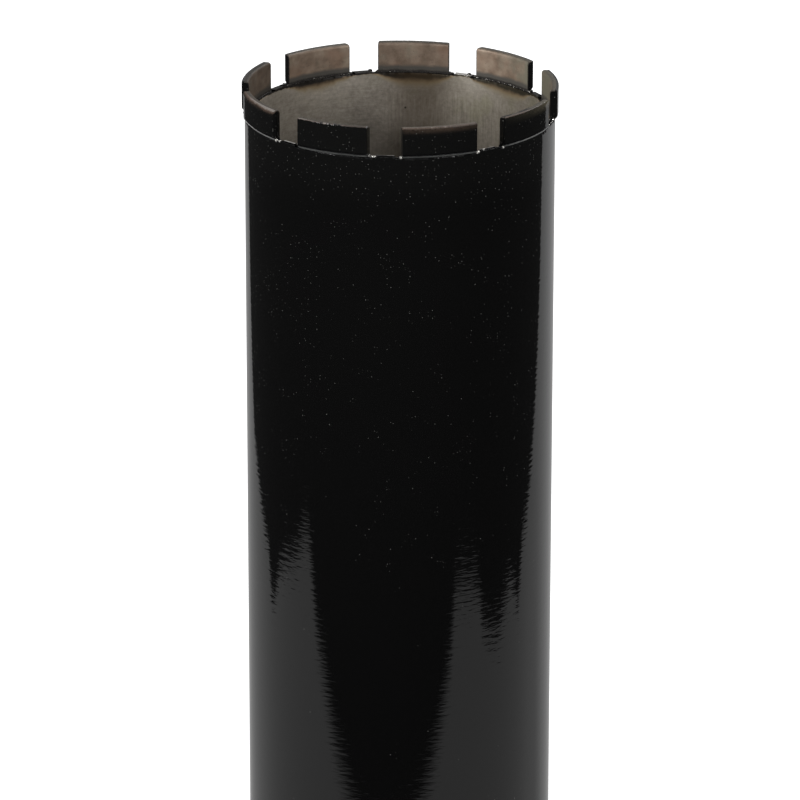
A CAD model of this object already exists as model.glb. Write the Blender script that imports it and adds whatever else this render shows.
"""Looks of a brazed diamond core bit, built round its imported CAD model.

Lengths are in metres in the CAD frame: Z is the bit's axis, z = 0 is the hub's seating face, and angles
run clockwise from +Y seen from above, so that segment k stands at (k - 1) * 40 degrees.
"""

import math
import random

import bmesh
import bpy
from mathutils import Matrix, Vector, noise


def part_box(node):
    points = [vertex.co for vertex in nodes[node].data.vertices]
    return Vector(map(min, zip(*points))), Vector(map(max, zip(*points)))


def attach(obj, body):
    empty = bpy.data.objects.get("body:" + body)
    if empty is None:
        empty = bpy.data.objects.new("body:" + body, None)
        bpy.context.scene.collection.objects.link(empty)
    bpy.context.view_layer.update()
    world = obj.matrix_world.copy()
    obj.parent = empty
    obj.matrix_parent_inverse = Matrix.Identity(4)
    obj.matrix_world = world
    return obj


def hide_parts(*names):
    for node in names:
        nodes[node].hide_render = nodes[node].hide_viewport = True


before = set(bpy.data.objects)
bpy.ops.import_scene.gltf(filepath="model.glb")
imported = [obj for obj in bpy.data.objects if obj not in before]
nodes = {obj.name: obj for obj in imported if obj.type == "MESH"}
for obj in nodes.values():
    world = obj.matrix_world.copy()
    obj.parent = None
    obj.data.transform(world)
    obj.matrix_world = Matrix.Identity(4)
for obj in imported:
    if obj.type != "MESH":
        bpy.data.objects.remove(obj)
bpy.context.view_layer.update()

MM = 0.001

# ---------- sizes of the object
BARREL_RADIUS = 50 * MM
BORE_RADIUS = 48 * MM
SEGMENT_COUNT = 9
PITCH = math.tau / SEGMENT_COUNT
SEGMENT_OUTER = 51 * MM
SEGMENT_INNER = 48.55 * MM
SEGMENT_HALF = 12 * MM
SEAT_HALF = 13.8 * MM
SEAT_DEPTH = 0.6 * MM
FOOT_FLARE = 1 * MM
CREST_INNER_ROUND = 0.9 * MM
CREST_END_ROUND = 0.4 * MM
UPRIGHT_EDGE_ROUND = 0.12 * MM

BARREL_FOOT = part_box("barrel")[0].z
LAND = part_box("barrel")[1].z
SEAT = LAND - SEAT_DEPTH
SEGMENT_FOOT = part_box("segment_1")[0].z
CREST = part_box("segment_1")[1].z
SEGMENT_HEIGHT = CREST - SEGMENT_FOOT
PLATE_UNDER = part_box("back_plate")[0].z
PLATE_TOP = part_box("back_plate")[1].z
HUB_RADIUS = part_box("hub")[1].x
THREAD_RADIUS = 15.9 * MM
THREAD_CREST_RADIUS = 14.1 * MM
THREAD_PITCH = 25.4 * MM / 7

# ---------- camera, from the view's geometry
IMAGE_SIZE = 800
VIEW_AZIMUTH = math.radians(5.477)
VIEW_PITCH = math.radians(19.281)
VIEW_ROLL = math.radians(0.061)
FOCAL_PIXELS = 5738.1
SENSOR = 36.0
RIM_PIXEL = (399.64, 112.72)
RIM_DISTANCE = 1845.7 * MM
RIM_HEIGHT = SEAT + 0.33 * MM


def ring_point(radius, angle, z):
    """A point at that radius, angle and height."""
    return Vector((radius * math.sin(angle), radius * math.cos(angle), z))


def view_point(right, away, z):
    """A point given to the right of the axis and away from the camera, as the camera looks."""
    cos, sin = math.cos(VIEW_AZIMUTH), math.sin(VIEW_AZIMUTH)
    return Vector((right * cos - away * sin, right * sin + away * cos, z))


# ---------- meshes
SHARP_ANGLE = math.radians(38)


def smooth_mesh(mesh, sharp_angle):
    """Smooth shading, with the edges sharper than that angle kept sharp."""
    bm = bmesh.new()
    bm.from_mesh(mesh)
    bmesh.ops.recalc_face_normals(bm, faces=bm.faces)
    for face in bm.faces:
        face.smooth = True
    for edge in bm.edges:
        edge.smooth = len(edge.link_faces) == 2 and edge.calc_face_angle(0) < sharp_angle
    bm.to_mesh(mesh)
    bm.free()


def new_object(name, data):
    """An object of that mesh, lamp or camera, in the scene."""
    made = bpy.data.objects.new(name, data)
    bpy.context.scene.collection.objects.link(made)
    return made


def new_piece(name, vertices, faces, materials, face_materials=None, sharp_angle=SHARP_ANGLE):
    """A mesh piece that rides on the bit, with one material index for each face."""
    mesh = bpy.data.meshes.new(name)
    mesh.from_pydata(vertices, [], faces)
    if face_materials:
        mesh.polygons.foreach_set("material_index", face_materials)
    for material in materials:
        mesh.materials.append(material)
    smooth_mesh(mesh, sharp_angle)
    piece = new_object(name, mesh)
    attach(piece, "root")
    return piece


def give(piece, name, values):
    """Stores one number for each vertex, for the materials to read."""
    piece.data.attributes.new(name, "FLOAT", "POINT").data.foreach_set("value", values)


def between(ends, share):
    """The value that far from the first end to the second."""
    return ends[0] + (ends[1] - ends[0]) * share


def skin(sections, closed):
    """Faces between sections that all have the same number of points, each one a closed loop."""
    count = len(sections[0])
    faces = []
    for i in range(len(sections) if closed else len(sections) - 1):
        here, there = i * count, (i + 1) % len(sections) * count
        for j in range(count):
            k = (j + 1) % count
            faces.append((here + j, there + j, there + k, here + k))
    return faces


def rounded(distance, radius):
    """How far a rounded edge has dropped, at that distance from its side."""
    if distance >= radius:
        return 0.0
    return radius - math.sqrt(max(0, radius * radius - (radius - distance) ** 2))


def arc(centre, radius, start, end, steps):
    """Points on an arc, in a section's (radius, height) plane, with angles in degrees."""
    points = []
    for i in range(steps + 1):
        a = math.radians(start + (end - start) * i / steps)
        points.append((centre[0] + radius * math.cos(a), centre[1] + radius * math.sin(a)))
    return points


# ---------- materials
class Nodes:
    """The node tree of a material or world, with one set of coordinates."""

    def __init__(self, owner, coordinates):
        owner.use_nodes = True
        self.tree = owner.node_tree
        self.place = self.new("TexCoord").outputs[coordinates]

    def set(self, socket, value):
        """Gives a socket a link or a plain value."""
        if isinstance(value, bpy.types.NodeSocket):
            self.tree.links.new(value, socket)
        else:
            socket.default_value = (*value, 1) if socket.type == "RGBA" else value

    def new(self, kind, values=None, **settings):
        """A new shader node with those settings, and those values or links at its inputs."""
        node = self.tree.nodes.new("ShaderNode" + kind)
        for name, setting in settings.items():
            setattr(node, name, setting)
        for key, value in (values or {}).items():
            self.set(node.inputs[key], value)
        return node

    def math(self, operation, *values, clamp=False):
        """One step of arithmetic on sockets or plain numbers."""
        return self.new("Math", dict(enumerate(values)), operation=operation, use_clamp=clamp).outputs[0]

    def plus(self, first, second, clamp=False):
        """The sum."""
        return self.math("ADD", first, second, clamp=clamp)

    def minus(self, first, second):
        """The difference."""
        return self.math("SUBTRACT", first, second)

    def times(self, first, second):
        """The product."""
        return self.math("MULTIPLY", first, second)

    def stretched(self, along, across):
        """The place with its height scaled by along, and the two level axes by across."""
        values = {0: self.place, 1: (across, across, along)}
        return self.new("VectorMath", values, operation="MULTIPLY").outputs[0]

    def noise(self, size, detail=2.0, place=None, roughness=0.5, offset=0.0):
        """Noise from 0 to 1 with features of about that size."""
        values = {"Vector": place or self.place, "W": offset, "Scale": 1 / size}
        values.update({"Detail": detail, "Roughness": roughness})
        return self.new("TexNoise", values, noise_dimensions="4D").outputs["Fac"]

    def uneven(self, amount, size, detail=2.0, roughness=0.5, offset=0.0):
        """Noise round zero, half of amount up and down, with features of about that size."""
        return self.times(self.minus(self.noise(size, detail, None, roughness, offset), 0.5), amount)

    def cells(self, size):
        """Scattered points about that far apart: (distance in metres, a random number for each)."""
        node = self.new("TexVoronoi", {"Vector": self.place, "Scale": 1 / size})
        pick = self.new("SeparateColor", {0: node.outputs["Color"]}).outputs[0]
        return self.times(node.outputs["Distance"], size), pick

    def axes(self):
        """The place as x, y and z."""
        return self.new("SeparateXYZ", {0: self.place}).outputs

    def radius(self):
        """The distance from the bit's axis."""
        x, y, _ = self.axes()
        return self.math("SQRT", self.plus(self.times(x, x), self.times(y, y)))

    def span(self, value, low, high, start=0.0, end=1.0, smooth=True):
        """value from low to high, turned into start to end."""
        values = {"Value": value, "From Min": low, "From Max": high, "To Min": start, "To Max": end}
        kind = "SMOOTHSTEP" if smooth else "LINEAR"
        return self.new("MapRange", values, interpolation_type=kind).outputs["Result"]

    def around(self, value, centre, near, far, most):
        """most where value is within near of that centre, fading to 0 at far."""
        return self.span(self.math("ABSOLUTE", self.minus(value, centre)), near, far, most, 0.0)

    def ramp(self, value, stops):
        """A colour ramp of (position, colour) stops."""
        node = self.new("ValToRGB", {0: value})
        elements = node.color_ramp.elements
        while len(elements) < len(stops):
            elements.new(1.0)
        for element, (position, colour) in zip(elements, stops):
            element.position = position
            element.color = (*colour, 1)
        return node.outputs["Color"]

    def mix(self, share, first, second):
        """The first colour where share is 0, and the second where it is 1."""
        return self.new("Mix", {0: share, 6: first, 7: second}, data_type="RGBA").outputs[2]

    def attribute(self, name):
        """The number that the mesh stores for each vertex under that name."""
        return self.new("Attribute", attribute_name=name).outputs["Fac"]

    def bump(self, height, distance):
        """A normal for a surface that is raised by that distance where height is 1."""
        return self.new("Bump", {"Distance": distance, "Height": height}).outputs[0]


class Surface(Nodes):
    """A material's node tree round one Principled shader."""

    def __init__(self, name, colour, roughness, metallic=0.0, specular=0.5):
        self.material = bpy.data.materials.new(name)
        super().__init__(self.material, "Object")
        self.shader = self.tree.nodes["Principled BSDF"]
        self.set(self.shader.inputs["Specular IOR Level"], specular)
        self.finish(colour, roughness, metallic)

    def finish(self, colour, roughness=None, metallic=None, normal=None):
        """Gives what isn't None to the shader, and returns the material."""
        names = ("Base Color", "Roughness", "Metallic", "Normal")
        for name, value in zip(names, (colour, roughness, metallic, normal)):
            if value is not None:
                self.set(self.shader.inputs[name], value)
        return self.material


PAINT = (0.0020, 0.0020, 0.0021)
PAINT_ROUGHNESS = 0.045
SEGMENT_PAINT_ROUGHNESS = 0.05
# Orange peel: the size of a ripple, how much it's drawn out along the barrel's turn, and how deep it is.
PEEL_SIZE = 1.2 * MM
PEEL_STRETCH = 0.26
PEEL_DEPTH = 0.024 * MM
# Dust: its colour, the specks' spacing, where a speck is full and where it ends, and the film between them.
DUST = (0.30, 0.30, 0.28)
SPECK_SPACING = 1.0 * MM
SPECK_FULL = 0.06 * MM
SPECK_END = 0.19 * MM
DUST_FILM = 0.0125
# What shows through worn paint, by how strong the wear is.
WORN_STOPS = (
    (0.42, (0.012, 0.009, 0.008)),
    (0.65, (0.064, 0.041, 0.028)),
    (0.85, (0.115, 0.078, 0.058)),
    (1.0, (0.23, 0.205, 0.185)),
)
BRIGHT_JOINT = (0.80, 0.80, 0.78)
JOINT_STOPS = ((0.30, (0.05, 0.052, 0.052)), (0.52, (0.085, 0.089, 0.086)), (0.75, (0.13, 0.13, 0.125)))


def dusted(m, colour, density):
    """Fine pale specks and a thin film of dust over a colour: (colour, share)."""
    distance, pick = m.cells(SPECK_SPACING)
    speck = m.span(distance, SPECK_FULL, SPECK_END, 1.0, 0.0)
    share = m.span(density, 0, 1, 0.30, 0.70, smooth=False)
    kept = m.math("LESS_THAN", m.noise(8 * MM, 2, offset=3.0), share)
    brightness = m.times(m.math("POWER", pick, 2.4), 0.62)
    share = m.plus(m.times(m.times(speck, kept), brightness), m.times(density, DUST_FILM))
    return m.mix(share, colour, DUST), share


def dust_density(m):
    """Thick near the rim, thin over the upper barrel, and nearly none at the bottom."""
    z = m.axes()[2]
    upper = m.span(z, 240 * MM, 400 * MM, 0.12, 0.48, smooth=False)
    return m.plus(upper, m.span(z, 424 * MM, 440 * MM, 0.0, 0.45))


def peel(m):
    """Orange peel in sprayed paint, drawn out round the barrel because it was turned while it was wet."""
    rings = m.noise(PEEL_SIZE, 2.0, m.stretched(1.0, PEEL_STRETCH), 0.45)
    return m.bump(rings, PEEL_DEPTH)


def barrel_paint():
    """Gloss black lacquer, duller where dust lies on it."""
    m = Surface("barrel_paint", PAINT, PAINT_ROUGHNESS)
    colour, dust = dusted(m, PAINT, dust_density(m))
    roughness = m.span(dust, 0.02, 0.3, PAINT_ROUGHNESS, 0.5)
    return m.finish(colour, roughness, normal=peel(m))


def segment_paint():
    """Black paint on a segment's outside, worn through to the matrix where the mesh's wear value says."""
    m = Surface("segment_paint", PAINT, SEGMENT_PAINT_ROUGHNESS)
    colour, _ = dusted(m, PAINT, m.plus(dust_density(m), m.attribute("dusty")))
    edge = m.plus(m.attribute("wear"), m.uneven(1.0, 0.7 * MM, 4, roughness=0.75))
    worn = m.span(edge, 0.30, 0.68)
    tint = m.mix(m.attribute("patina"), (0.100, 0.070, 0.051), (0.125, 0.112, 0.075))
    blotches = m.span(m.noise(0.8 * MM, 3), 0.3, 0.7, 0.75, 1.2)
    colour = m.mix(m.times(m.attribute("haze"), blotches), colour, tint)
    colour = m.mix(worn, colour, m.ramp(edge, WORN_STOPS))
    roughness = m.span(worn, 0, 1, SEGMENT_PAINT_ROUGHNESS, 0.45)
    grain = m.bump(m.noise(0.35 * MM, 2), 0.05 * MM)
    return m.finish(colour, roughness, normal=m.mix(worn, peel(m), grain))


def joint_paint():
    """The thin paint over the solder line under a segment's foot."""
    m = Surface("joint_paint", (0.075, 0.078, 0.076), 0.3)
    colour = m.ramp(m.noise(1.6 * MM, 3, roughness=0.6), JOINT_STOPS)
    joint = m.attribute("joint")
    colour = m.mix(joint, colour, BRIGHT_JOINT)
    height = m.minus(m.axes()[2], SEGMENT_FOOT)
    ragged = m.uneven(0.5 * MM, 1.3 * MM, 3, offset=4.0)
    ragged = m.minus(ragged, m.times(joint, 0.8 * MM))
    painted = m.span(m.plus(height, ragged), 0.60 * MM, 0.78 * MM)
    roughness = m.span(painted, 0, 1, m.span(joint, 0, 1, 0.35, 0.12), 0.06)
    lumps = m.bump(m.noise(0.5 * MM, 2), 0.04 * MM)
    return m.finish(m.mix(painted, colour, PAINT), roughness, normal=lumps)


MATRIX_STOPS = ((0.34, (0.30, 0.215, 0.155)), (0.50, (0.43, 0.32, 0.24)), (0.66, (0.54, 0.425, 0.325)))
SMUDGED = (0.16, 0.12, 0.09)
REDDISH = (0.47, 0.295, 0.205)
GREENISH = (0.33, 0.32, 0.245)
BACKING = (0.15, 0.14, 0.125)
SOOTY = (0.015, 0.014, 0.014)
OVERSPRAY = (0.030, 0.026, 0.023)
CREST_ROUNDING = (0.06, 0.05, 0.04)
CREST_DARK, CREST_PALE = (0.030, 0.029, 0.022), (0.21, 0.18, 0.14)
BURNT_BLACK = (0.010, 0.009, 0.008)
SHADED = (0.02, 0.017, 0.014)
PITTED = (0.06, 0.05, 0.045)


def sintered_matrix():
    """Sintered bronze matrix: mottled brown, finely pitted, with a grey backing layer at the foot."""
    m = Surface("sintered_matrix", (0.26, 0.20, 0.155), 0.5, metallic=0.35)
    colour = m.ramp(m.noise(4.2 * MM, 4, roughness=0.55), MATRIX_STOPS)
    smudge = m.span(m.noise(4.5 * MM, 3, m.stretched(1.3, 0.7), 0.6, 9.0), 0.52, 0.72, 0.0, 0.45)
    colour = m.mix(smudge, colour, SMUDGED)
    colour = m.mix(m.span(m.noise(7 * MM, 1, offset=2.0), 0.5, 0.75, 0.0, 0.5), colour, REDDISH)
    green = m.plus(m.attribute("patina"), m.uneven(1.6, 4 * MM, 3, offset=7.0))
    colour = m.mix(m.span(green, 0.2, 1.0, 0.0, 0.9), colour, GREENISH)
    height = m.minus(m.axes()[2], SEGMENT_FOOT)
    wavy = m.plus(height, m.uneven(1.2 * MM, 4 * MM, 3))
    colour = m.mix(m.span(wavy, 1.5 * MM, 2.9 * MM, 1.0, 0.0), colour, BACKING)
    colour = m.mix(m.span(wavy, 0.2 * MM, 1.1 * MM, 0.85, 0.0), colour, SOOTY)
    overspray = m.plus(m.attribute("edge"), m.uneven(0.8, 1.5 * MM, 3))
    colour = m.mix(m.span(overspray, 0.15, 0.75, 0.0, 0.85), colour, OVERSPRAY)
    raised = m.plus(height, m.times(m.noise(0.9 * MM, 3), 0.2 * MM))
    below = m.minus(SEGMENT_HEIGHT, raised)
    colour = m.mix(m.span(below, 0.05 * MM, 0.75 * MM, 0.55, 0.0, smooth=False), colour, CREST_ROUNDING)
    marked = m.uneven(1.6, 1.1 * MM, 3, roughness=0.65, offset=6.0)
    marked = m.plus(m.attribute("crest"), marked, clamp=True)
    flat = m.mix(marked, CREST_DARK, CREST_PALE)
    colour = m.mix(m.span(below, -0.05 * MM, 0.12 * MM, 0.85, 0.0), colour, flat)
    strength = m.attribute("burnt")
    burnt = m.plus(strength, m.uneven(2.0, 0.8 * MM, 3, roughness=0.7, offset=11.0))
    burnt = m.times(m.span(burnt, 0.45, 0.7), m.span(below, 0.3 * MM, 0.6 * MM, 1.0, 0.0))
    colour = m.mix(m.times(burnt, m.span(strength, 0.05, 0.3)), colour, BURNT_BLACK)
    colour = m.mix(m.attribute("shade"), colour, SHADED)
    distance, pick = m.cells(0.9 * MM)
    pit = m.span(distance, 0.05 * MM, 0.2 * MM, 1.0, 0.0)
    pit = m.times(pit, m.math("GREATER_THAN", pick, 0.6))
    colour = m.mix(m.times(pit, 0.5), colour, PITTED)
    relief = m.minus(m.noise(0.4 * MM, 3), pit)
    return m.finish(colour, normal=m.bump(relief, 0.06 * MM))


# Brighter patches at the bore's top: mm across from the axis, half width, how far down, how much brighter.
GLOW = ((20, 15, 12, 0.22), (-29, 20, 18, 0.17))
# Where soot under the seam reaches further down: mm across, half width, how much further.
SOOT = ((1, 13, 1.0), (-34, 8, 0.6), (35, 8, 0.5))
STEEL_STOPS = (
    (0.36, (0.220, 0.195, 0.165)),
    (0.50, (0.383, 0.343, 0.293)),
    (0.64, (0.575, 0.522, 0.452)),
    (0.80, (0.84, 0.775, 0.68)),
)
OLIVE_STOPS = ((0.36, (0.215, 0.20, 0.145)), (0.64, (0.515, 0.485, 0.36)), (0.80, (0.76, 0.72, 0.555)))
# Heat colours, from the seam (0) to where the heat ended (1).
HEAT_STOPS = (
    (0.0, (0.016, 0.014, 0.012)),
    (0.14, (0.034, 0.030, 0.025)),
    (0.26, (0.18, 0.13, 0.085)),
    (0.45, (0.40, 0.30, 0.18)),
    (0.70, (0.49, 0.41, 0.285)),
    (1.0, (0.46, 0.405, 0.32)),
)
HEAT_REACH = 5.0 * MM
STRAW = (0.29, 0.245, 0.14)
DULL_BROWN = (0.062, 0.037, 0.014)
DEEP_BORE = (0.040, 0.035, 0.030)
# One dark nick in the bore, across from the axis and below the rim's seats.
NICK = (-2.8 * MM, 12 * MM)
NICK_BLACK = (0.02, 0.018, 0.016)


def bare_steel():
    """The barrel's bore: drawn steel with fine streaks, and heat colours under each brazed segment."""
    m = Surface("bare_steel", (0.20, 0.185, 0.165), 0.42, metallic=0.45)
    upright = m.noise(0.7 * MM, 3, m.stretched(0.09, 1.0), 0.6)
    level = m.span(m.noise(0.5 * MM, 2, m.stretched(1.0, 0.12), 0.6, 3.0), 0, 1, 0.2, 0.8, smooth=False)
    grain = m.noise(1.3 * MM, 4, roughness=0.75)
    clouds = m.noise(11 * MM, 3, roughness=0.6)
    x, y, z = m.axes()
    depth = m.minus(SEAT, z)
    wander = m.times(m.minus(clouds, 0.5), 20 * MM)
    turned = m.span(m.plus(x, wander), -14 * MM, -4 * MM, 1.0, 0.0)
    lapped = m.span(m.plus(depth, wander), 4 * MM, 9 * MM, 1.0, 0.0)
    brushed = m.math("MAXIMUM", turned, lapped)
    tone = m.times(m.span(brushed, 0, 1, upright, level, smooth=False), 0.32)
    tone = m.plus(m.plus(tone, m.times(grain, 0.40)), m.times(clouds, 0.28))
    for centre, half_width, reach, lift in GLOW:
        beside = m.around(x, centre * MM, 0, half_width * MM, lift)
        above = m.span(depth, 1 * MM, reach * MM, 1.0, 0.0, smooth=False)
        tone = m.plus(tone, m.times(beside, above))
    colour = m.ramp(tone, STEEL_STOPS)
    olive = m.span(m.noise(7 * MM, 3, offset=5.0), 0.45, 0.65, 0.0, 0.65)
    olive = m.times(olive, m.span(x, -15 * MM, 5 * MM, 0.15, 1.0))
    colour = m.mix(olive, colour, m.ramp(tone, OLIVE_STOPS))
    turn = m.math("DIVIDE", m.math("ARCTAN2", x, y), PITCH)
    off_centre = m.math("ABSOLUTE", m.math("WRAP", turn, 0.5, -0.5))
    reach = m.minus(1.0, m.math("POWER", m.math("DIVIDE", off_centre, 0.43), 2.0))
    least = m.span(off_centre, 0.33, 0.38, 1.8 * MM, 0.25 * MM)
    reach = m.math("MAXIMUM", m.times(reach, HEAT_REACH), least)
    reach = m.times(reach, m.span(x, -43 * MM, -34 * MM, 0.1, 1.0))
    below = m.plus(depth, m.uneven(3.5 * MM, 8 * MM, 4, roughness=0.65))
    for centre, half_width, further in SOOT:
        beside = m.around(x, centre * MM, 0.4 * half_width * MM, half_width * MM, further * MM)
        below = m.minus(below, beside)
    heat = m.math("DIVIDE", below, reach)
    colour = m.mix(m.span(heat, 0.30, 1.15, 1.0, 0.0), colour, m.ramp(heat, HEAT_STOPS))
    colour = m.mix(m.span(x, -5 * MM, 15 * MM, 0.0, 0.13), colour, STRAW)
    colour = m.mix(m.around(x, 2 * MM, 3 * MM, 15 * MM, 0.54), colour, DULL_BROWN)
    colour = m.mix(m.span(depth, 6 * MM, 34 * MM, 0.08, 0.55), colour, DEEP_BORE)
    squares = [m.math("POWER", m.minus(value, at), 2.0) for value, at in zip((x, depth), NICK)]
    nick = m.math("SQRT", m.plus(*squares))
    colour = m.mix(m.span(nick, 0.2 * MM, 0.5 * MM, 0.85, 0.0), colour, NICK_BLACK)
    scratches = m.bump(m.noise(0.35 * MM, 2, m.stretched(0.03, 1.0), 0.5), 0.02 * MM)
    return m.finish(colour, normal=scratches)


# How far inside the outer wall the paint ends on the rim and on the solder: bare, then fully painted.
RIM_PAINT = (1.45 * MM, 1.25 * MM)
SOLDER_PAINT = (1.3 * MM, 1.1 * MM)
RIM_STOPS = ((0.30, (0.03, 0.027, 0.024)), (0.75, (0.50, 0.48, 0.45)), (1.0, (0.80, 0.78, 0.74)))
FLUX_STOPS = ((0.60, (0.014, 0.012, 0.011)), (0.68, (0.07, 0.062, 0.055)), (0.80, (0.80, 0.78, 0.73)))
STEEL_METALLIC = 0.9


def painted_outside(m, ragged, depths):
    """1 where paint covers the outer part, up to a ragged edge between those depths from the outer wall."""
    bare, full = depths
    return m.span(m.plus(m.radius(), ragged), BARREL_RADIUS - bare, BARREL_RADIUS - full)


def ground_rim():
    """The rim's lands and seats: ground steel, bright where the mesh's shine value says, painted outside."""
    m = Surface("ground_rim", (0.5, 0.48, 0.45), 0.3, STEEL_METALLIC, specular=0.0)
    tone = m.plus(m.attribute("shine"), m.uneven(1.6, 1.2 * MM, 3))
    painted = painted_outside(m, m.uneven(0.8 * MM, 1.5 * MM, 2), RIM_PAINT)
    painted = m.times(painted, m.span(m.axes()[1], 0, 20 * MM, 1.0, 0.0))
    colour = m.mix(painted, m.ramp(tone, RIM_STOPS), PAINT)
    metal = m.span(painted, 0, 1, STEEL_METALLIC, 0.0)
    return m.finish(colour, metallic=metal, normal=m.bump(m.noise(0.5 * MM, 2), 0.05 * MM))


def silver_braze():
    """Silver solder: bright and lumpy inside, sprayed over with the barrel's paint outside."""
    m = Surface("silver_braze", (0.5, 0.49, 0.46), 0.25, STEEL_METALLIC, specular=0.25)
    ragged = m.uneven(1.2 * MM, 0.6 * MM, 2)
    painted = painted_outside(m, ragged, SOLDER_PAINT)
    bare = m.span(m.plus(m.attribute("bare"), m.times(ragged, 0.25 / MM)), 0.35, 0.55)
    painted = m.times(painted, m.minus(1.0, bare))
    tone = m.plus(m.noise(0.45 * MM, 3, roughness=0.65), m.times(m.attribute("shine"), 0.2))
    tone = m.plus(tone, m.times(bare, 0.3))
    colour = m.mix(painted, m.ramp(tone, FLUX_STOPS), PAINT)
    rough = m.span(painted, 0, 1, m.span(tone, 0.60, 0.74, 0.6, 0.25), 0.08)
    bright = m.times(m.span(tone, 0.60, 0.72), m.span(painted, 0, 1, 0.85, 0.0))
    return m.finish(colour, rough, bright, m.bump(m.noise(0.3 * MM, 2), 0.03 * MM))


HUB_ROUGHNESS = 0.12
HUB_MOUTH = THREAD_RADIUS + 1.8 * MM
HUB_FACE = 0.15 * MM
HUB_DUST = 0.2


def hub_finish():
    """Paint on the hub's outside, over bare machined steel on its seating face, mouth and bore."""
    m = Surface("hub_finish", PAINT, HUB_ROUGHNESS)
    in_bore = m.math("LESS_THAN", m.radius(), HUB_MOUTH)
    bare = m.math("MAXIMUM", in_bore, m.math("LESS_THAN", m.axes()[2], HUB_FACE))
    steel = m.mix(m.noise(0.5 * MM, 2), (0.30, 0.29, 0.28), (0.48, 0.47, 0.45))
    colour, _ = dusted(m, PAINT, HUB_DUST)
    roughness = m.span(bare, 0, 1, HUB_ROUGHNESS, 0.35)
    metal = m.times(bare, STEEL_METALLIC)
    return m.finish(m.mix(bare, colour, steel), roughness, metal, m.bump(m.noise(1.6 * MM, 2), 0.012 * MM))


def plate_paint():
    """Thin, drier paint on the back plate, with a little of the plate's grain showing."""
    m = Surface("plate_paint", (0.006, 0.006, 0.0062), 0.28)
    colour = m.mix(m.noise(2.5 * MM, 4), (0.0045, 0.0045, 0.0048), (0.012, 0.012, 0.0125))
    return m.finish(colour, normal=m.bump(m.noise(0.8 * MM, 3), 0.03 * MM))


def weld_paint():
    """The barrel's paint over the welds, a little uneven."""
    m = Surface("weld_paint", PAINT, 0.15)
    colour = m.mix(m.noise(1.5 * MM, 3), PAINT, (0.011, 0.0105, 0.010))
    return m.finish(colour, normal=m.bump(m.noise(0.7 * MM, 3), 0.05 * MM))


def thread_steel():
    """Bare cut steel."""
    m = Surface("thread_steel", (0.42, 0.41, 0.39), 0.3, STEEL_METALLIC)
    colour = m.mix(m.noise(3 * MM, 3), (0.30, 0.29, 0.27), (0.50, 0.49, 0.47))
    return m.finish(colour, normal=m.bump(m.noise(0.3 * MM, 2), 0.02 * MM))


# ---------- barrel
BARREL_COLUMNS = 720
RIM_EDGE = 0.08 * MM
WALL_LEVELS = 12
FOOT_CHAMFER = 0.6 * MM
STEP_HALF_WIDTH = 0.03 * MM
STEP_CLEARANCE = math.radians(0.9)
# The wall's rows end this far below the rim; the rim is ground this rough, with grains of this size.
RIM_BAND = 1 * MM
GRIND_DEPTH = 0.05 * MM
GRIND_SIZE = 0.9 * MM
# How bright the land after each segment is.
LAND_SHINE = (1.25, 0.10, 0.75, 0.5, 0.5, 1.5, 0.35, 0.15, 0.28)
PAINTED, BORE, RIM = 0, 1, 2


def barrel_columns():
    """Columns round the barrel as (angle at a radius, rim height), with close pairs at the seats' ends."""
    columns = []
    for k in range(SEGMENT_COUNT):
        centre = k * PITCH
        for side in (-1, 1):
            for shift, height in ((-1, SEAT), (1, LAND)):
                across = side * (SEAT_HALF + shift * STEP_HALF_WIDTH)
                columns.append((lambda r, c=centre, a=across: c + math.asin(a / r), height))
    ends = [column[0](BARREL_RADIUS) % math.tau for column in columns]
    for i in range(BARREL_COLUMNS):
        angle = i * math.tau / BARREL_COLUMNS
        near = min(abs((angle - end + math.pi) % math.tau - math.pi) for end in ends)
        if near < STEP_CLEARANCE:
            continue
        off = abs((angle + PITCH / 2) % PITCH - PITCH / 2)
        height = SEAT if BARREL_RADIUS * math.sin(off) < SEAT_HALF else LAND
        columns.append((lambda r, a=angle: a, height))
    return sorted(columns, key=lambda column: column[0](BARREL_RADIUS) % math.tau)


def barrel_section(height):
    """(radius, height, region of the face that follows) round the wall, for a rim at that height."""
    low, high = BARREL_FOOT + FOOT_CHAMFER, height - RIM_BAND
    section = [(BORE_RADIUS, BARREL_FOOT, PAINTED), (BARREL_RADIUS - FOOT_CHAMFER, BARREL_FOOT, PAINTED)]
    for i in range(WALL_LEVELS + 1):
        section.append((BARREL_RADIUS, low + (high - low) * i / WALL_LEVELS, PAINTED))
    outer_edge = arc((BARREL_RADIUS - RIM_EDGE, height - RIM_EDGE), RIM_EDGE, 0, 90, 3)
    section += [(r, z, PAINTED) for r, z in outer_edge[:-1]]
    section.append((*outer_edge[-1], RIM))
    for i in range(1, 4):
        section.append((BARREL_RADIUS - (BARREL_RADIUS - BORE_RADIUS) * i / 4, height, RIM))
    inner_edge = arc((BORE_RADIUS + RIM_EDGE, height - RIM_EDGE), RIM_EDGE, 90, 180, 3)
    section += [(r, z, RIM) for r, z in inner_edge[:-1]]
    section.append((*inner_edge[-1], BORE))
    for i in range(WALL_LEVELS + 1):
        section.append((BORE_RADIUS, high - (high - RIM_BAND - BARREL_FOOT) * i / WALL_LEVELS, BORE))
    return section


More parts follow.
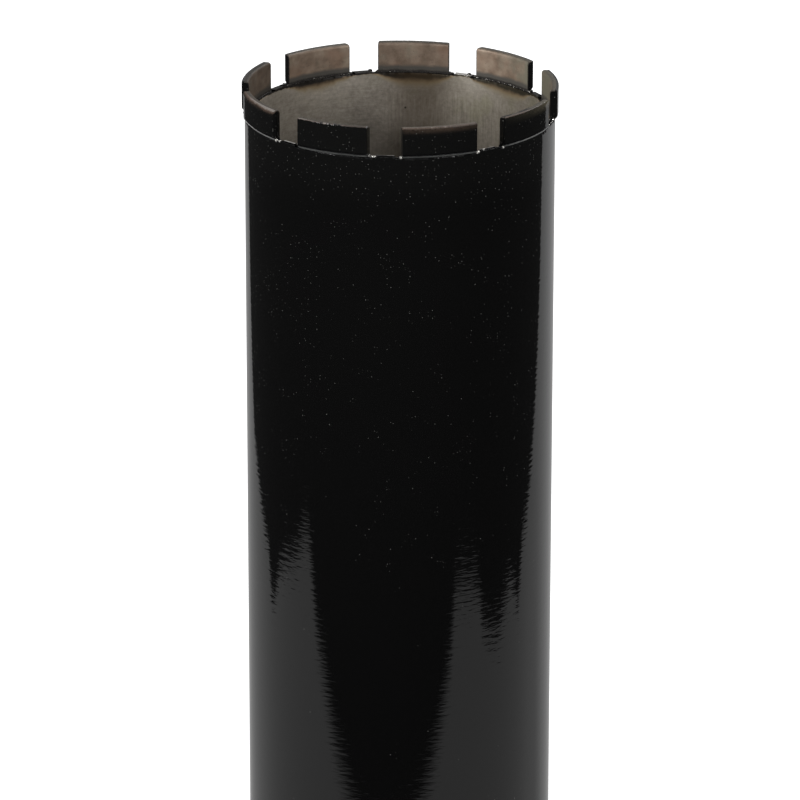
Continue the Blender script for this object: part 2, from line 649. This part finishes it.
def make_barrel(paint, steel, rim):
    """The barrel: a finely turned tube with nine ground seats in its rim."""
    vertices, sections, regions, shine = [], [], [], []
    for angle_at, height in barrel_columns():
        section = barrel_section(height)
        sections.append(section)
        for r, z, region in section:
            point = ring_point(r, angle_at(r), z)
            if z > height - GRIND_DEPTH:
                point.z -= GRIND_DEPTH * (0.5 + 0.5 * noise.noise(point / GRIND_SIZE))
            vertices.append(point)
            regions.append(region)
            land = int(angle_at(r) % math.tau / PITCH) % SEGMENT_COUNT
            shine.append(LAND_SHINE[land] if height == LAND else 0)
    faces = skin(sections, closed=True)
    piece = new_piece("barrel_shell", vertices, faces, (paint, steel, rim), regions)
    give(piece, "shine", shine)
    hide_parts("barrel")


# ---------- crown segments
SEGMENT_STEP = 0.32 * MM
FACE_ROWS = 20
# Columns this close to a segment's end, in mm, follow its rounded upright edge.
END_COLUMNS = (0, 0.02, 0.05, 0.09, 0.14, 0.2, 0.28, 0.4)
# Chips in a crest reach this far down; their sizes, and their depths on a plain and on a worn crest.
CHIP_BAND = 1 * MM
CHIP_SIZES = (0.8 * MM, 0.33 * MM)
CHIP_DEPTHS = (0.04 * MM, 0.10 * MM)
OVERSPRAY_WIDTH = 0.45 * MM
# How far the paint is worn off each outer crest edge: strength at its right end, middle and left end as seen
# from outside, mm down the face, and how broken it is near the middle.
WEAR = (
    (0, 0, 0, 0.4, 0),
    (0, 0, 0, 0.4, 0),
    (0.2, 0.2, 0.2, 0.5, 0),
    (0.35, 0.66, 0.85, 0.5, 0.8),
    (0.69, 0.81, 0.81, 0.8, 1.1),
    (0.62, 0.80, 1.05, 0.22, 2.6),
    (1.15, 1.02, 0.66, 1.0, 0.3),
    (0.2, 0.2, 0.2, 0.5, 0),
    (0, 0, 0, 0.4, 0),
)
# Haze over the paint below an outer crest edge, by segment index: strength at its right end, middle and left
# end, and mm deep.
HAZE = {3: (1.15, 0.35, 0.05, 3.2), 4: (0.60, 0.90, 0.55, 2.3), 6: (0.8, 0.7, 0.6, 1.9)}
# The radius that each outer crest edge is worn to, in mm.
WORN_ROUND = (0.3, 0.3, 0.3, 0.3, 0.4, 0.3, 0.65, 0.3, 0.3)
# How much more dust than the barrel each segment carries outside.
DUSTY = (0, 0, 0, -0.1, 0.05, 0.15, 0.05, 0, 0)
# How dark each segment's bare inner face is, and how green-grey.
SHADE = (0.35, 0.02, 0.22, 0.3, 0.3, 0.3, 0.3, 0.61, 0.22)
PATINA = (0.20, 0.35, 0.75, 0.9, 0.0, 0.3, 0.1, 0.25, 0.2)
# How much greener than its middle each segment's left end is.
PATINA_TILT = (0, 0.40, -0.25, 0, 0, 0, 0, 0, 0)
# How pale the flat of each crest is.
CREST_TONE = (0.35, 0.3, 0.5, 0.5, 0.75, 0.25, 0.2, 0.1, 0.3)
# Burnt marks on a crest inside its outer edge, by segment index: where along it, from -1 (its right end) to 1
# (its left end), half how wide, and how strong.
BURNT = {3: ((0.19, 0.36, 1.0), (0.85, 0.30, 0.75))}
BURNT_INSIDE = SEGMENT_OUTER - 0.5 * MM
# How bare the joint line under each segment's foot is, at its right end and its left end.
JOINT = ((0, 0), (0, 0), (0.1, 0.6), (0.5, 0), (0, 0), (0, 0.04), (0.22, 0.85), (0.25, 0.25), (0, 0))
# How each segment was set when it was brazed: mm along the rim from its nominal place, and its own length.
SEGMENT_SHIFT = (-0.09, -0.42, -0.40, -0.04, -0.16, 0.10, 0.20, 0.48, 0.39)
SEGMENT_LENGTH = (23.49, 23.60, 24.0, 24.0, 24.30, 24.26, 23.90, 24.0, 23.86)
OUTER_FACE, FLARE, MATRIX = 0, 1, 2


def segment_section(outer_round):
    """(radius, height above the foot, region) round a segment's section, for that outer crest radius."""
    top = SEGMENT_HEIGHT
    section = [(SEGMENT_INNER, 0, MATRIX), ((SEGMENT_INNER + BARREL_RADIUS) / 2, 0, MATRIX)]
    for i in range(5):
        section.append((BARREL_RADIUS + FOOT_FLARE * i / 4, FOOT_FLARE * i / 4, FLARE))
    outer_top = top - outer_round
    for i in range(1, FACE_ROWS):
        section.append((SEGMENT_OUTER, FOOT_FLARE + (outer_top - FOOT_FLARE) * i / FACE_ROWS, OUTER_FACE))
    for r, z in arc((SEGMENT_OUTER - outer_round, outer_top), outer_round, 0, 90, 6):
        section.append((r, z, OUTER_FACE))
    crest_in, crest_out = SEGMENT_INNER + CREST_INNER_ROUND, SEGMENT_OUTER - outer_round
    for i in range(1, 5):
        section.append((crest_out + (crest_in - crest_out) * i / 5, top, OUTER_FACE if i == 1 else MATRIX))
    for r, z in arc((crest_in, top - CREST_INNER_ROUND), CREST_INNER_ROUND, 90, 180, 6):
        section.append((r, z, MATRIX))
    for i in range(1, FACE_ROWS):
        section.append((SEGMENT_INNER, (top - CREST_INNER_ROUND) * (1 - i / FACE_ROWS), MATRIX))
    return section


def segment_columns(half):
    """Places along a segment of that half length, closer together at the rounded ends."""
    left = [-half + d * MM for d in END_COLUMNS]
    plain = -2 * left[-1]
    steps = round(plain / SEGMENT_STEP)
    middle = [left[-1] + plain * i / steps for i in range(1, steps)]
    return left + middle + [-x for x in reversed(left)]


def along(ends, side):
    """The value at a place from -1, the right end, to 1, the left end, of (right, middle, left) values."""
    right, middle, left = ends
    return middle + (left - middle) * side if side > 0 else middle + (middle - right) * side


def chipped(across, radius, below, index, depth):
    """How far chips of that depth take a crest down at a place that is that far below it."""
    if below >= CHIP_BAND:
        return 0
    chip = noise.noise(Vector((across, radius, 9 * index * MM)) / CHIP_SIZES[0])
    chip += 0.6 * noise.noise(Vector((across, radius, 4 * index * MM)) / CHIP_SIZES[1])
    return max(0, chip) * depth * (1 - below / CHIP_BAND)


def worn(index, side, across, below):
    """How far the paint is worn off at that place on a segment's outer face."""
    *ends, band, broken = WEAR[index]
    spots = noise.noise(Vector((across / (0.55 * MM), index * 2.3, 5)))
    strength = along(ends, side) * max(0, 1 + broken * max(0, 1 - abs(side) / 0.5) * spots)
    patch = 1 + 0.6 * noise.noise(Vector((across / (5 * MM), index * 3.7, 0)))
    return max(0, strength * (1 - 0.5 * below / (band * patch * MM)))


def make_segment(index, paint, flare, matrix):
    """One segment, at its place: parallel ends, curved faces, flared foot and a worn, rounded crest."""
    half = SEGMENT_LENGTH[index] * MM / 2
    section, columns = segment_section(WORN_ROUND[index] * MM), segment_columns(half)
    middle_radius = (SEGMENT_INNER + SEGMENT_OUTER) / 2
    centre = index * PITCH + SEGMENT_SHIFT[index] * MM / middle_radius
    chip_depth = CHIP_DEPTHS[1] if WEAR[index][-1] else CHIP_DEPTHS[0]
    *haze_ends, haze_deep = HAZE.get(index, (0, 0, 0, 1))
    vertices = []
    values = {name: [] for name in ("wear", "edge", "haze", "joint", "patina", "burnt")}
    for across in columns:
        from_end, side = half - abs(across), across / half
        drop = rounded(from_end, CREST_END_ROUND)
        inset = 1 - 2 * rounded(from_end, UPRIGHT_EDGE_ROUND) / (SEGMENT_OUTER - SEGMENT_INNER)
        hazy = along(haze_ends, side) if from_end > 0.01 * MM else 0
        mark = 0
        for place, width, most in BURNT.get(index, ()):
            mark = max(mark, most * max(0, 1 - abs(side - place) / width) ** 0.5)
        for r, z, region in section:
            radius = middle_radius + (r - middle_radius) * inset
            height = SEGMENT_FOOT + z - drop * z / SEGMENT_HEIGHT
            below = CREST - height
            height -= chipped(across, r, below, index, chip_depth)
            vertices.append(ring_point(radius, centre + math.asin(across / radius), height))
            values["wear"].append(worn(index, side, across, below) if region == OUTER_FACE else 0)
            values["edge"].append(max(0, 1 - from_end / OVERSPRAY_WIDTH))
            values["haze"].append(hazy * max(0, 1 - below / (haze_deep * MM)) ** 1.2)
            values["joint"].append(between(JOINT[index], 0.5 + 0.5 * side))
            values["patina"].append(PATINA[index] + PATINA_TILT[index] * side)
            values["burnt"].append(mark if r < BURNT_INSIDE else 0)
    count = len(section)
    faces = skin([section] * len(columns), closed=False)
    regions = [section[i % count][2] for i in range(len(faces))]
    faces += [tuple(range(count)), tuple(reversed(range(len(vertices) - count, len(vertices))))]
    regions += [OUTER_FACE, OUTER_FACE]
    piece = new_piece(f"crown_segment_{index + 1}", vertices, faces, (paint, flare, matrix), regions)
    for name, table in (("shade", SHADE), ("crest", CREST_TONE), ("dusty", DUSTY)):
        values[name] = [table[index]] * len(vertices)
    for name, numbers in values.items():
        give(piece, name, numbers)
    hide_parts(f"segment_{index + 1}")


# ---------- silver solder
SOLDER_VOXEL = 0.12 * MM
# How much of each seam is bright.
SOLDER_SHINE = (0.15, 0.65, 0.5, 0.6, 0.6, 0.6, 0.6, 0.2, 0.5)
# The film under a segment's foot: steps along it, how far it stands out at the ends and inside, and how far
# it stays in from the barrel's outer wall.
FILM_STEPS = 24
FILM_END, FILM_INSIDE, FILM_OUTSIDE = 0.5 * MM, 0.1 * MM, 0.03 * MM
# Beads from this radius on, in mm, break through the paint.
OUTER_BEADS = 49.6
# Beads that stand out, in mm: (segment, along it from its centre, radius, height above its seat, half sizes
# along, in and up).
BEADS = (
    (6, -13.9, 49.9, 0.50, 0.85, 0.45, 0.34), (6, -12.5, 49.7, 0.85, 0.28, 0.3, 0.28),
    (6, 12.6, 49.5, 0.40, 0.5, 0.5, 0.35), (6, 14.0, 49.2, 0.75, 0.45, 0.4, 0.3),
    (5, 12.4, 50.0, 0.50, 0.55, 0.5, 0.42), (5, -13.0, 50.1, 0.35, 0.8, 0.45, 0.36),
    (5, -15.1, 49.7, 0.75, 0.5, 0.45, 0.35), (4, 12.6, 49.2, 0.95, 0.3, 0.3, 0.3),
    (4, 12.2, 50.1, 0.35, 0.5, 0.4, 0.4), (7, -12.4, 50.1, 0.50, 0.55, 0.5, 0.45),
    (7, -14.0, 50.0, 0.50, 0.5, 0.45, 0.40), (3, 12.5, 49.9, 0.55, 0.45, 0.5, 0.5),
    (3, 12.4, 48.8, 0.5, 0.45, 0.4, 0.45), (8, -13.9, 50.1, 0.45, 0.6, 0.45, 0.4),
    (2, -15.2, 49.0, 0.75, 0.7, 0.8, 0.5), (2, -13.4, 48.9, 0.45, 0.9, 0.8, 0.45),
    (1, -14.6, 49.2, 0.70, 0.8, 0.7, 0.45), (1, 13.0, 48.9, 0.35, 0.7, 0.7, 0.4),
    (9, -13.6, 49.2, 0.65, 0.5, 0.7, 0.55), (9, -15.0, 49.1, 0.65, 0.5, 0.6, 0.35),
    (2, 12.9, 49.2, 0.55, 0.5, 0.6, 0.5), (3, -15.6, 49.1, 0.75, 0.6, 0.6, 0.4),
    (3, 14.7, 49.9, 0.66, 0.35, 0.25, 0.2), (3, 16.4, 49.8, 0.64, 0.4, 0.25, 0.18),
    (3, 18.6, 49.8, 0.64, 0.5, 0.25, 0.18), (9, 13.0, 49.1, 0.3, 0.7, 0.7, 0.35),
    (8, 12.8, 49.1, 0.3, 0.6, 0.7, 0.35),
)


def add_bead(bm, index, across, radius, height, sizes):
    """An ellipsoid of solder: along the segment, towards the axis and up."""
    turn = -(index * PITCH + across / radius)
    place = Matrix.Translation(ring_point(radius, -turn, height)) @ Matrix.Rotation(turn, 4, "Z")
    bmesh.ops.create_icosphere(bm, subdivisions=2, radius=1.0, matrix=place @ Matrix.Diagonal((*sizes, 1)))


def add_film(bm, index):
    """The thin film of solder between a segment's foot and its seat."""
    inner, outer = SEGMENT_INNER - FILM_INSIDE, BARREL_RADIUS - FILM_OUTSIDE
    corners = ((inner, SEAT), (outer, SEAT), (outer, SEGMENT_FOOT), (inner, SEGMENT_FOOT))
    loops = []
    for i in range(FILM_STEPS + 1):
        across = (SEGMENT_HALF + FILM_END) * (2 * i / FILM_STEPS - 1)
        loops.append([bm.verts.new(ring_point(r, index * PITCH + across / r, z)) for r, z in corners])
    for here, there in zip(loops, loops[1:]):
        for j in range(4):
            bm.faces.new((here[j], there[j], there[(j + 1) % 4], here[(j + 1) % 4]))
    bm.faces.new(loops[0])
    bm.faces.new(loops[-1][::-1])


def add_lumps(bm, index):
    """The lumpy seam along a segment's inner side, and the fillets at its two ends."""
    rng = random.Random(100 + index)
    across = -SEGMENT_HALF
    while across < SEGMENT_HALF:
        size = rng.uniform(0.28, 0.5) * MM
        add_bead(bm, index, across, SEGMENT_INNER - 0.02 * MM, SEAT + rng.uniform(0.08, 0.24) * MM,
                 (size * 1.2, rng.uniform(0.30, 0.46) * MM, size))
        across += rng.uniform(0.35, 0.75) * MM
    for side in (-1, 1):
        for i in range(5):
            radius = SEGMENT_INNER + (0.1 + 0.32 * i) * MM
            add_bead(bm, index, side * (SEGMENT_HALF + 0.1 * MM), radius, SEAT + 0.15 * MM,
                     (rng.uniform(0.45, 0.6) * MM, 0.3 * MM, rng.uniform(0.4, 0.62) * MM))
            add_bead(bm, index, side * (SEGMENT_HALF + 0.55 * MM), radius, SEAT + 0.03 * MM,
                     (rng.uniform(0.4, 0.7) * MM, 0.3 * MM, rng.uniform(0.16, 0.3) * MM))


def add_beads(bm, index):
    """The beads that stand out, and where paint has come off them: (place, size)."""
    glints = []
    for number, shift, radius, height, *sizes in BEADS:
        if number == index + 1:
            add_bead(bm, index, shift * MM, radius * MM, SEAT + height * MM, [size * MM for size in sizes])
            if radius > OUTER_BEADS:
                angle = index * PITCH + shift / radius
                spot = ring_point((radius + 0.25) * MM, angle, SEAT + (height + 0.2) * MM)
                glints.append((spot, max(1.1, 1.6 * max(sizes)) * MM))
    return glints


def joined_skin(bm, name):
    """The vertices and faces of one closed, softened skin round overlapping lumps."""
    mesh = bpy.data.meshes.new(name)
    bm.to_mesh(mesh)
    bm.free()
    rough = new_object(name + "_lumps", mesh)
    remesh = rough.modifiers.new("remesh", "REMESH")
    remesh.mode = "VOXEL"
    remesh.voxel_size = SOLDER_VOXEL
    soften = rough.modifiers.new("soften", "SMOOTH")
    soften.factor = 0.5
    soften.iterations = 3
    joined = bpy.data.meshes.new_from_object(rough.evaluated_get(bpy.context.evaluated_depsgraph_get()))
    bpy.data.objects.remove(rough)
    vertices = [v.co.copy() for v in joined.vertices]
    faces = [tuple(p.vertices) for p in joined.polygons]
    bpy.data.meshes.remove(joined)
    return vertices, faces


def make_solder(index, material):
    """The solder round one segment's foot, as it froze: film, lumpy seam, end fillets and beads."""
    bm = bmesh.new()
    add_film(bm, index)
    add_lumps(bm, index)
    glints = add_beads(bm, index)
    name = f"solder_{index + 1}"
    vertices, faces = joined_skin(bm, name)
    piece = new_piece(name, vertices, faces, (material,), sharp_angle=math.pi)
    give(piece, "shine", [SOLDER_SHINE[index]] * len(vertices))
    bare = [max((1 - (v - spot).length / size for spot, size in glints), default=0) for v in vertices]
    give(piece, "bare", bare)
    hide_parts(f"braze_{index + 1}")


# ---------- welds and thread
WELD_COLUMNS = 540
WELD_STEPS = 10
PLATE_WELD_LEG, PLATE_WELD_RIPPLES = 2 * MM, 130
HUB_WELD_LEG, HUB_WELD_RIPPLES = 4 * MM, 52
# Shares of a weld's leg: how deep its ripples are, how far it swells and wanders, and how far it is sunk in.
WELD_RIPPLE, WELD_SWELL, WELD_WANDER, WELD_SUNK = 0.045, 0.06, 0.05, 0.03
# The thread's ridge: steps a turn, where it starts and ends, the turns in which it fades, half its width at
# the root and at the crest, and how far its root is buried.
THREAD_STEPS = 96
THREAD_LOW, THREAD_HIGH = 2.6 * MM, PLATE_TOP - 1.6 * MM
THREAD_FADE = 0.4
THREAD_ROOT, THREAD_TIP = THREAD_PITCH * 0.43, THREAD_PITCH * 0.125
THREAD_BURIED = 0.05 * MM


def make_weld(name, node, corner_radius, leg, inward, ripples, material):
    """A rippled fillet weld under the back plate, in the corner at that radius."""
    vertices, sections = [], []
    for i in range(WELD_COLUMNS):
        angle = i * math.tau / WELD_COLUMNS
        wander = WELD_WANDER * noise.noise(Vector((math.sin(angle), math.cos(angle), leg)) * 4)
        phase = ripples * angle / math.tau % 1
        section = []
        for j in range(WELD_STEPS + 1):
            turn = math.radians(90 * j / WELD_STEPS)
            bow = math.sin(2 * turn)
            scallop = WELD_RIPPLE * math.sqrt(abs(math.sin(math.pi * (phase + 0.35 * bow))))
            swell = (WELD_SWELL + scallop + wander) * bow
            reach = leg * (1 / (math.cos(turn) + math.sin(turn)) + swell - WELD_SUNK)
            r = corner_radius + (-1 if inward else 1) * reach * math.cos(turn)
            section.append((r, PLATE_UNDER - reach * math.sin(turn)))
        section.append((corner_radius, PLATE_UNDER))
        sections.append(section)
        vertices += [ring_point(r, angle, z) for r, z in section]
    piece = new_piece(name, vertices, skin(sections, closed=True), (material,), sharp_angle=math.radians(60))
    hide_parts(node)


def make_thread(material):
    """The female thread's ridge: a right-handed 60 degree form that fades out at both ends."""
    count = round(THREAD_STEPS * (THREAD_HIGH - THREAD_LOW) / THREAD_PITCH)
    depth = THREAD_RADIUS - THREAD_CREST_RADIUS
    wall = THREAD_RADIUS + THREAD_BURIED
    vertices, sections = [], []
    for i in range(count + 1):
        fade = min(1, i / (THREAD_STEPS * THREAD_FADE), (count - i) / (THREAD_STEPS * THREAD_FADE))
        z = THREAD_LOW + (THREAD_HIGH - THREAD_LOW) * i / count
        tip = THREAD_RADIUS - depth * max(0.02, fade)
        corners = ((wall, -THREAD_ROOT), (tip, -THREAD_TIP), (tip, THREAD_TIP), (wall, THREAD_ROOT))
        section = [(r, z + h) for r, h in corners]
        sections.append(section)
        vertices += [ring_point(r, -math.tau * i / THREAD_STEPS, h) for r, h in section]
    faces = skin(sections, closed=False)
    faces += [(3, 2, 1, 0), tuple(range(len(vertices) - 4, len(vertices)))]
    piece = new_piece("hub_thread", vertices, faces, (material,), sharp_angle=math.radians(25))


# ---------- stage, light and camera
# The pale table: its corners in mm to the right of the bit and away from the camera, and how far its light
# fades at each.  Its edges are what the paint mirrors.
TABLE = (
    (-700, 2000, 5), (-690, 1260, 5), (-640, 1050, 5), (-625, 885, 5), (-630, 745, 5), (-680, 630, 5),
    (-725, 475, 5), (-755, 350, 5), (-735, 315, 5), (-725, 260, 10), (-740, 220, 10), (-800, 150, 10),
    (-830, 50, 10), (-845, -160, 20), (-850, -250, 25), (-825, -295, 20), (-760, -325, 20), (-695, -345, 30),
    (-600, -405, 50), (-390, -475, 60), (215, -580, 60), (460, -600, 50), (545, -615, 25), (610, -570, 25),
    (680, -465, 20), (705, -390, 10), (690, -335, 10), (735, -150, 10), (780, -70, 10), (805, 5, 10),
    (785, 75, 10), (760, 120, 10), (795, 170, 10), (830, 210, 5), (830, 290, 5), (860, 435, 5), (925, 635, 5),
    (995, 770, 5), (1320, 1180, 5), (1330, 2000, 5),
)
TABLE_MIDDLE = (0, 0.4)
TABLE_COLOUR = (0.56, 0.56, 0.56)
# What camera rays add to the table's own light: within the first distance of the bit's foot, and beyond the
# second, which its shadow doesn't reach.
TABLE_LIFT = (0.48, 1.0)
LIFT_SPAN = (300 * MM, 650 * MM)
# The world's strength as light, and as a mirror shows it below and above the horizon.
AMBIENT = 0.35
MIRRORED_FLOOR = 0.03
MIRRORED_SKY = 0.35
SKY_RISE = (0.02, 0.3)
# Lamps: name, metres right, away and up, size, power and what it points at.
LAMPS = (
    ("key_lamp", -1.5, -1.0, 1.4, 0.4, 22, (0, 0, 0.45)),
    ("fill_lamp", 1.1, -1.3, 1.3, 0.8, 10, (0, 0, 0.45)),
    ("back_lamp", 1.0, 1.5, 2.2, 1.0, 22, (0.9, 1.0, 0)),
)
CLIP_END = 20


def table_white():
    """Pale matt white, dark at the mesh's edge, lifted to white for camera rays and less so near the foot."""
    m = Surface("table_white", TABLE_COLOUR, 1.0, specular=0.0)
    material = m.finish(m.ramp(m.attribute("lit"), ((0.0, (0, 0, 0)), (1.0, TABLE_COLOUR))))
    distance = m.new("VectorMath", {0: m.place}, operation="LENGTH").outputs["Value"]
    rise = m.span(distance, *LIFT_SPAN, *TABLE_LIFT, smooth=False)
    strength = m.times(m.new("LightPath").outputs["Is Camera Ray"], rise)
    lift = m.new("Emission", {"Strength": strength})
    both = m.new("AddShader", {0: m.shader.outputs[0], 1: lift.outputs[0]})
    m.set(m.tree.nodes["Material Output"].inputs["Surface"], both.outputs[0])
    return material


def make_table():
    """A flat table top with a narrow border, in which its light fades."""
    mesh = bpy.data.meshes.new("table_top")
    count = len(TABLE)
    middle = Vector(TABLE_MIDDLE)
    rings = [[], []]
    for x, y, fade in TABLE:
        edge = Vector((x, y)) * MM
        inner = edge + (middle - edge).normalized() * fade * MM
        rings[0].append(view_point(*edge, 0))
        rings[1].append(view_point(*inner, 0))
    faces = [tuple(reversed(range(count, 2 * count)))]
    faces += [(i, count + i, count + (i + 1) % count, (i + 1) % count) for i in range(count)]
    mesh.from_pydata(rings[0] + rings[1], [], faces)
    mesh.materials.append(table_white())
    table = new_object("table_top", mesh)
    give(table, "lit", [0.0] * count + [1.0] * count)


def make_world():
    """White to the camera; soft ambient light; mirrored as a dark room below and a pale sky above."""
    world = bpy.data.worlds.new("studio")
    bpy.context.scene.world = world
    m = Nodes(world, "Generated")
    path = m.new("LightPath")
    sky = m.span(m.axes()[2], *SKY_RISE, MIRRORED_FLOOR, MIRRORED_SKY, smooth=False)
    light = m.span(path.outputs["Is Glossy Ray"], 0, 1, AMBIENT, sky, smooth=False)
    background = m.tree.nodes["Background"]
    m.set(background.inputs["Color"], (1, 1, 1))
    strength = m.span(path.outputs["Is Camera Ray"], 0, 1, light, 1.0, smooth=False)
    m.set(background.inputs["Strength"], strength)


def make_lamp(name, right, away, height, size, power, target):
    """A square soft box that points at a target, both given in the view's own frame."""
    lamp = bpy.data.lights.new(name, "AREA")
    lamp.size = size
    lamp.energy = power
    holder = new_object(name, lamp)
    holder.location = view_point(right, away, height)
    aim = view_point(*target) - holder.location
    holder.rotation_euler = aim.to_track_quat("-Z", "Y").to_euler()


def make_camera():
    """The camera that puts the rim's centre on its pixel, at its distance, with no lens shift."""
    cos, sin = math.cos(VIEW_PITCH), math.sin(VIEW_PITCH)
    forward = Vector((-math.sin(VIEW_AZIMUTH) * cos, math.cos(VIEW_AZIMUTH) * cos, -sin))
    right = Vector((math.cos(VIEW_AZIMUTH), math.sin(VIEW_AZIMUTH), 0))
    down = forward.cross(right)
    across = (RIM_PIXEL[0] - IMAGE_SIZE / 2) / FOCAL_PIXELS * RIM_DISTANCE
    below = (RIM_PIXEL[1] - IMAGE_SIZE / 2) / FOCAL_PIXELS * RIM_DISTANCE
    data = bpy.data.cameras.new("view_camera")
    data.sensor_width = SENSOR
    data.lens = FOCAL_PIXELS * SENSOR / IMAGE_SIZE
    data.clip_end = CLIP_END
    camera = new_object("view_camera", data)
    camera.location = Vector((0, 0, RIM_HEIGHT)) - across * right - below * down - RIM_DISTANCE * forward
    across_roll = math.cos(VIEW_ROLL) * right - math.sin(VIEW_ROLL) * down
    up_roll = -math.cos(VIEW_ROLL) * down - math.sin(VIEW_ROLL) * right
    camera.rotation_euler = Matrix((across_roll, up_roll, -forward)).transposed().to_euler()
    bpy.context.scene.camera = camera


# ---------- build
def main():
    """Sets the stage and dresses every node of the bit."""
    bpy.context.scene.view_settings.view_transform = "Standard"
    make_camera()
    make_table()
    make_world()
    for lamp in LAMPS:
        make_lamp(*lamp)
    make_barrel(barrel_paint(), bare_steel(), ground_rim())
    paint, flare, matrix = segment_paint(), joint_paint(), sintered_matrix()
    solder = silver_braze()
    for index in range(SEGMENT_COUNT):
        make_segment(index, paint, flare, matrix)
        make_solder(index, solder)
    weld = weld_paint()
    make_weld("plate_weld_bead", "plate_weld", BORE_RADIUS, PLATE_WELD_LEG, True, PLATE_WELD_RIPPLES, weld)
    make_weld("hub_weld_bead", "hub_weld", HUB_RADIUS, HUB_WELD_LEG, False, HUB_WELD_RIPPLES, weld)
    make_thread(thread_steel())
    for name, material in (("hub", hub_finish()), ("back_plate", plate_paint())):
        nodes[name].data.materials.clear()
        nodes[name].data.materials.append(material)


main()
